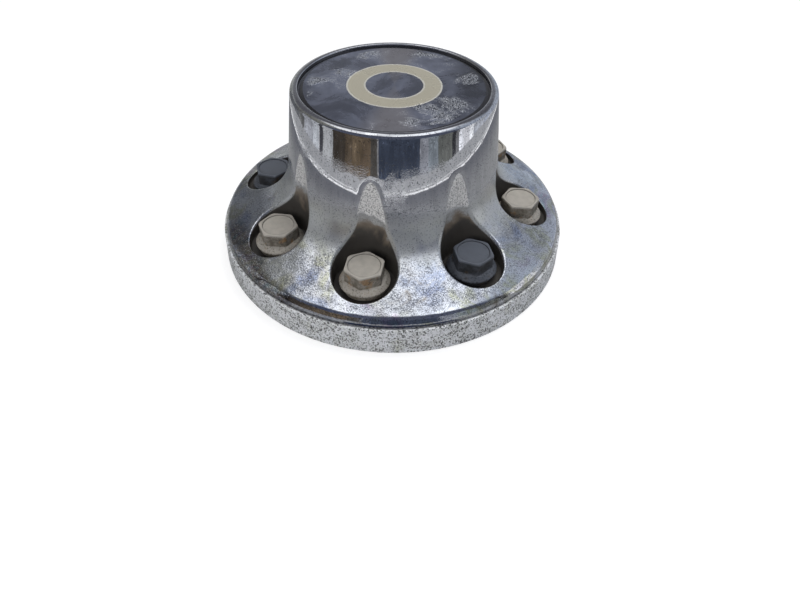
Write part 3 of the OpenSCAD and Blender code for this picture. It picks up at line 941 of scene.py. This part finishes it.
def cover_plastic(name, colour):
    """Satin moulded plastic, brown with grime on its sides, darker in the groove round its dished top."""
    material, g, shader = new_material(name)
    place, mark = g.place(), g.mark()
    z = g.split(place)[2]
    mottle = g.noise(place, 240, 4, 0.6)
    spots = g.noise(place, 900, 3, 0.7)
    low = g.times(g.ease(z, *GRIME_BELOW), g.ease(mark, 0.1, 0.4))
    base = g.coat(scaled(colour, 0.90), scaled(colour, 1.06), g.ease(mottle, 0.3, 0.7))
    film = g.ease(mottle, 0.30, 0.65, 0.35, 0.95)
    base = g.coat(base, scaled(colour, 0.19, 0.165, 0.125), low, film, 0.92)
    stain = g.ease(g.noise(place, 130, 3, 0.6), 0.56, 0.66)
    base = g.coat(base, scaled(colour, 0.72, 0.46, 0.24), low, stain, 0.70)
    base = g.coat(base, scaled(colour, 0.12), low, g.ease(spots, 0.54, 0.64), 0.8)
    base = g.coat(base, scaled(colour, 0.28), g.ease(mark, 0.45, 0.95), g.ease(z, *GROOVE_ABOVE), 0.8)
    flange = g.window(z, *FLANGE_HEIGHTS)
    base = g.coat(base, scaled(colour, 0.95), flange, g.ease(spots, 0.62, 0.50, 0.2, 0.8))
    plug(g, shader, base_color=base, metallic=0.0, roughness=g.ease(mottle, 0.3, 0.7, 0.40, 0.56),
         normal=g.bump(g.noise(place, 1400, 2, 0.5), 0.18, 0.0002))
    return material


# Stage

CARD_CENTRE = (14.8 * MM, 2.6 * MM)
CARD_RADIUS, CARD_HEIGHT = 300 * MM, 175 * MM

# The upright card's colours by direction, in degrees in the photograph's frame, from the left side round the
# front to the back
CARD_BANDS = (
    (-173, (0.50, 0.52, 0.55)), (-167, (0.62, 0.63, 0.66)), (-165.8, (0.07, 0.07, 0.08)),
    (-161, (0.50, 0.51, 0.52)), (-150, (0.064, 0.053, 0.043)), (-136.5, (0.115, 0.088, 0.062)),
    (-130, (0.16, 0.12, 0.08)), (-121, (0.145, 0.108, 0.075)),
    (-112.5, (0.085, 0.078, 0.07)), (-107.8, (0.25, 0.25, 0.26)), (-105.9, (0.055, 0.067, 0.097)),
    (-68.6, (0.30, 0.31, 0.345)), (-60, (0.25, 0.28, 0.31)), (-50, (0.125, 0.13, 0.122)),
    (-44, (0.155, 0.16, 0.15)), (-35, (0.04, 0.04, 0.045)), (-30.5, (0.22, 0.22, 0.23)),
    (-25.6, (0.88, 0.89, 0.93)), (-20, (0.78, 0.78, 0.81)), (-12, (0.85, 0.86, 0.88)),
    (-7, (0.44, 0.46, 0.50)), (12, (0.40, 0.43, 0.50)), (45, (0.36, 0.40, 0.46)),
    (72, (0.50, 0.51, 0.54)), (104, (0.50, 0.50, 0.50)),
    (120, (0.38, 0.39, 0.38)), (130, (0.29, 0.30, 0.29)), (138, (0.14, 0.145, 0.155)),
    (162, (0.16, 0.16, 0.16)), (172, (0.38, 0.39, 0.42)),
)

# The mat's ends, the part of it that is navy by radius and direction, and its bright edges' ends
MAT_RADII, MAT_HEIGHT = (118 * MM, 250 * MM), 0.4 * MM
NAVY_RADII, NAVY_TURN = (131 * MM, 165 * MM), (math.radians(-112), math.radians(-70))
EDGE_RADII, EDGE_HEIGHT = ((250 * MM, 254 * MM), (259 * MM, 260.5 * MM)), 0.6 * MM

# The room by direction from left, 0, to right, 1
WALL_COLOURS = (
    (0.0, (0.16, 0.16, 0.15)), (0.20, (0.25, 0.25, 0.23)), (0.40, (0.29, 0.30, 0.32)),
    (0.60, (0.36, 0.38, 0.42)), (0.80, (0.44, 0.48, 0.55)), (1.0, (0.35, 0.39, 0.47)),
)
CEILING_COLOURS = (
    (0.15, (0.06, 0.06, 0.06)), (0.20, (0.50, 0.50, 0.50)), (0.24, (1.25, 1.25, 1.27)),
    (0.32, (1.20, 1.20, 1.23)), (0.42, (0.95, 0.96, 0.99)), (0.56, (0.95, 0.97, 1.01)),
    (0.63, (1.40, 1.44, 1.52)), (0.70, (0.92, 0.95, 1.04)), (0.80, (0.46, 0.50, 0.58)),
    (1.0, (0.36, 0.40, 0.48)),
)


def bare_material(name):
    """A material with no nodes but its output, its graph and that output's surface."""
    material = bpy.data.materials.new(name)
    material.use_nodes = True
    material.node_tree.nodes.clear()
    output = material.node_tree.nodes.new("ShaderNodeOutputMaterial")
    return material, Graph(material.node_tree), output.inputs[0]


def floor_material():
    """A pale floor: white to the camera, with the object's shadow, and pale in the chrome."""
    material, g, surface = bare_material("pale_floor")
    camera_ray = g.add("LightPath", "Is Camera Ray")
    pale = g.add("BsdfDiffuse", color=(0.50, 0.50, 0.50, 1))
    away = g.add("VectorMath", 1, settings={"operation": "LENGTH"}, in0=g.place())
    seen = g.add("AddShader", in0=g.add("BsdfDiffuse", color=(0.35, 0.35, 0.35, 1)),
                 in1=g.add("Emission", color=(1, 1, 1, 1), strength=g.ease(away, 0.3, 1.2, 0.74, 1.0)))
    feed(g.tree, surface, g.add("MixShader", in0=camera_ray, in1=pale, in2=seen))
    return material


def card_material():
    """The upright card: plain bands of colour side by side, flecked, and a little brighter at its foot."""
    material, g, surface = bare_material("banded_card")
    place = g.place()
    x, y, z = g.split(place)
    turn = g.math("DIVIDE", g.plus(g.math("ARCTAN2", y, x), math.pi), 2 * math.pi)
    stops = [((degrees + 180) % 360 / 360, colour) for degrees, colour in CARD_BANDS]
    wavy = g.times(g.minus(g.noise(place, 14, 3, 0.6), 0.5), 0.002)
    colour = g.steps(g.plus(turn, wavy), [(0.0, stops[-1][1])] + stops, smooth=False)
    level = g.times(g.ease(z, 0.0, 0.02, 1.35, 1.0), g.ease(g.noise(place, 30, 4, 0.6), 0.3, 0.7, 0.7, 1.2))
    level = g.plus(level, g.ease(g.noise(place, 110, 3, 0.7), 0.58, 0.70, 0.0, 1.3))
    feed(g.tree, surface, g.add("Emission", color=colour, strength=level))
    return material


def line_material():
    """The bright edges of the mat."""
    material, g, surface = bare_material("bright_edge")
    feed(g.tree, surface, g.add("Emission", color=(1, 1, 1, 1), strength=1.3))
    return material


def mat_material():
    """The grey mat that the cap stands on in the chrome, navy close before it."""
    material, g, surface = bare_material("grey_mat")
    x, y, _ = g.split(g.place())
    radius = g.reach(x, y)
    navy = g.times(g.between(radius, *NAVY_RADII), g.between(g.math("ARCTAN2", y, x), *NAVY_TURN))
    grey = g.coat((0.36, 0.36, 0.355), (0.20, 0.203, 0.22), g.ease(radius, 0.170, 0.250))
    feed(g.tree, surface, g.add("BsdfDiffuse", color=g.coat(grey, (0.035, 0.043, 0.072), navy)))
    return material


def studio_world():
    """White to the camera. To everything else a bright ceiling over walls, dim on the left and blue on the
    right, with a dark front wall.
    """
    world = bpy.data.worlds.new("studio")
    world.use_nodes = True
    tree = world.node_tree
    tree.nodes.clear()
    g = Graph(tree)
    x, y, z = g.split(g.add("TexCoord", 0))
    c, s = math.cos(PHOTO_TURN), math.sin(PHOTO_TURN)
    right = g.plus(g.times(x, c), g.times(y, s))
    front = g.minus(g.times(x, s), g.times(y, c))
    place = g.times(g.plus(right, 1.0), 0.5)
    walls = g.coat(g.steps(place, WALL_COLOURS), (0.09, 0.10, 0.14), g.ease(front, 0.02, 0.30))
    walls = g.coat(walls, (0.34, 0.35, 0.35), g.ease(front, -0.45, -0.75), g.ease(right, 0.0, -0.4))
    walls = g.coat(walls, (0.12, 0.12, 0.135), g.ease(front, -0.30, -0.60), g.ease(z, 0.30, 0.50))
    strip = g.ease(g.math("SINE", g.plus(g.times(right, 21.0), g.times(front, 5.0))), 0.35, 0.80)
    ceiling = g.coat(g.steps(place, CEILING_COLOURS), (1.60, 1.62, 1.65), strip,
                     g.ease(g.math("ABSOLUTE", right), 0.50, 0.42))
    left = g.times(g.ease(right, -0.30, -0.60), g.ease(front, -0.02, 0.15))
    drop = g.plus(g.times(g.ease(front, 0.08, 0.30), 0.20), g.times(left, 0.08))
    room = g.coat(walls, ceiling, g.ease(g.minus(z, drop), 0.70, 0.90))
    seen = g.blend(g.add("LightPath", "Is Camera Ray"), room, (1, 1, 1))
    back = g.add("Background", color=seen, strength=1.0)
    tree.links.new(back, tree.nodes.new("ShaderNodeOutputWorld").inputs[0])
    return world


def stage_piece(name, section, material):
    """A turned surface of the stage, seen by the chrome alone."""
    points = revolved(np.array(section), np.linspace(0, 2 * math.pi, STAGE_COLUMNS, endpoint=False))
    mesh = bpy.data.meshes.new(name)
    mesh.from_pydata(points.reshape(-1, 3).tolist(), [], grid_quads(*points.shape[:2]).tolist())
    mesh.materials.append(material)
    thing = add_object(name, mesh)
    thing.location = (*CARD_CENTRE, 0)
    thing.rotation_euler = (0, 0, PHOTO_TURN)
    thing.visible_camera = thing.visible_diffuse = thing.visible_shadow = False


def area_light(name, place, aim, width, depth, watts, colour):
    """A soft box that points at aim and leaves no image of itself in the chrome."""
    lamp = bpy.data.lights.new(name, "AREA")
    lamp.shape, lamp.size, lamp.size_y, lamp.energy, lamp.color = "RECTANGLE", width, depth, watts, colour
    thing = add_object(name, lamp)
    thing.location = place
    thing.visible_glossy = False
    thing.rotation_euler = (Vector(aim) - Vector(place)).to_track_quat("-Z", "Y").to_euler()


def photo_camera():
    """The camera of the photograph, placed in the photograph's frame."""
    focal, frame_width, sensor = 564.8, 800, 36
    pitch, roll = math.radians(45.87), math.radians(1.412)
    eye = Vector((6.178, -312.668, 249.239)) * MM
    forward = Vector((0, math.cos(pitch), -math.sin(pitch)))
    up = Vector((0, math.sin(pitch), math.cos(pitch)))
    right = Vector((1, 0, 0))
    across = right * math.cos(roll) + up * math.sin(roll)
    upward = up * math.cos(roll) - right * math.sin(roll)
    place = Matrix((across, upward, -forward)).transposed().to_4x4()
    place.translation = eye
    camera = bpy.data.cameras.new("camera")
    camera.sensor_width, camera.lens = sensor, focal * sensor / frame_width
    camera.clip_start = 0.01
    thing = add_object("camera", camera)
    thing.matrix_world = Matrix.Rotation(PHOTO_TURN, 4, "Z") @ place
    bpy.context.scene.camera = thing


def build_stage():
    """Floor, world, reflection cards, soft boxes and camera."""
    scene = bpy.context.scene
    scene.view_settings.view_transform = "Standard"
    scene.world = studio_world()
    mesh = bpy.data.meshes.new("floor")
    reach = 4
    mesh.from_pydata([(-reach, -reach, 0), (reach, -reach, 0), (reach, reach, 0), (-reach, reach, 0)], [],
                     [(0, 1, 2, 3)])
    mesh.materials.append(floor_material())
    add_object("floor", mesh)
    stage_piece("banded_card", [(CARD_RADIUS, 0), (CARD_RADIUS, CARD_HEIGHT)], card_material())
    stage_piece("grey_mat", [(r, MAT_HEIGHT) for r in MAT_RADII], mat_material())
    for radii in EDGE_RADII:
        stage_piece("bright_edge", [(r, EDGE_HEIGHT) for r in radii], line_material())
    area_light("overhead", (0.15, 0.25, 0.9), (0, 0, 0.03), 0.5, 0.35, 2.9, (1, 0.99, 0.97))
    area_light("window", (0.9, 0.35, 0.45), (0, 0, 0.05), 0.35, 0.5, 1.2, (0.95, 0.98, 1))
    area_light("front", (-0.1, -0.66, 0.36), (0, 0, 0.03), 0.45, 0.3, 2.1, (1, 1, 1))
    photo_camera()


# Operators

def settings():
    """The scene's sizes and colours."""
    scene = bpy.context.scene
    return scene.cap_sizes, scene.well_sizes, scene.cap_colours


class OBJECT_OT_cap_shell(bpy.types.Operator):
    """Builds the chrome-plated shell"""
    bl_idname = "object.cap_shell_add"
    bl_label = "Plated Shell"

    def execute(self, context):
        size, well, colours = settings()
        shell = build_shell(size, well, [chrome_plating(colours), bare_underside()])
        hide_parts("cap_shell")
        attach(shell, "cap")
        return {"FINISHED"}


class OBJECT_OT_cap_disc(bpy.types.Operator):
    """Builds the lacquered disc in the hub's recess"""
    bl_idname = "object.cap_disc_add"
    bl_label = "Lacquered Disc"

    def execute(self, context):
        size, _, colours = settings()
        disc = build_disc(size, disc_lacquer(colours))
        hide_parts("emblem_disc")
        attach(disc, "cap")
        return {"FINISHED"}


class OBJECT_OT_lug_covers(bpy.types.Operator):
    """Builds the captive lug nut covers"""
    bl_idname = "object.lug_covers_add"
    bl_label = "Lug Nut Covers"

    def execute(self, context):
        _, well, colours = settings()
        grey = cover_plastic("cover_grey", colours.cover_grey)
        dark = cover_plastic("cover_dark", colours.cover_dark)
        for index, node in enumerate(COVERS):
            is_dark = node in DARK_COVERS
            cover = build_cover("lug_cover_%d" % (index + 1), index, well, dark if is_dark else grey)
            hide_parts(node)
            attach(cover, "lug_cover_%d" % (index + 1))
        return {"FINISHED"}


class OBJECT_OT_cap_stage(bpy.types.Operator):
    """Sets the floor, the lights and the camera"""
    bl_idname = "object.cap_stage_add"
    bl_label = "Stage"

    def execute(self, context):
        build_stage()
        return {"FINISHED"}


class VIEW3D_PT_center_cap(bpy.types.Panel):
    """Lists the cap's sizes, colours and pieces"""
    bl_label = "Center Cap"
    bl_idname = "VIEW3D_PT_center_cap"
    bl_space_type = "VIEW_3D"
    bl_region_type = "UI"
    bl_category = "Center Cap"

    def draw(self, context):
        for group in settings():
            box = self.layout.box()
            for name in group.__annotations__:
                box.prop(group, name)
        for operator in PIECE_OPERATORS:
            self.layout.operator(operator.bl_idname)


PIECE_OPERATORS = (OBJECT_OT_cap_shell, OBJECT_OT_cap_disc, OBJECT_OT_lug_covers, OBJECT_OT_cap_stage)
CLASSES = (CapSizes, WellSizes, CapColours) + PIECE_OPERATORS + (VIEW3D_PT_center_cap,)


def register():
    for cls in CLASSES:
        bpy.utils.register_class(cls)
    bpy.types.Scene.cap_sizes = PointerProperty(type=CapSizes)
    bpy.types.Scene.well_sizes = PointerProperty(type=WellSizes)
    bpy.types.Scene.cap_colours = PointerProperty(type=CapColours)


def unregister():
    del bpy.types.Scene.cap_colours
    del bpy.types.Scene.well_sizes
    del bpy.types.Scene.cap_sizes
    for cls in reversed(CLASSES):
        bpy.utils.unregister_class(cls)


def main():
    register()
    bpy.ops.object.cap_shell_add()
    bpy.ops.object.cap_disc_add()
    bpy.ops.object.lug_covers_add()
    bpy.ops.object.cap_stage_add()


if __name__ == "__main__":
    main()
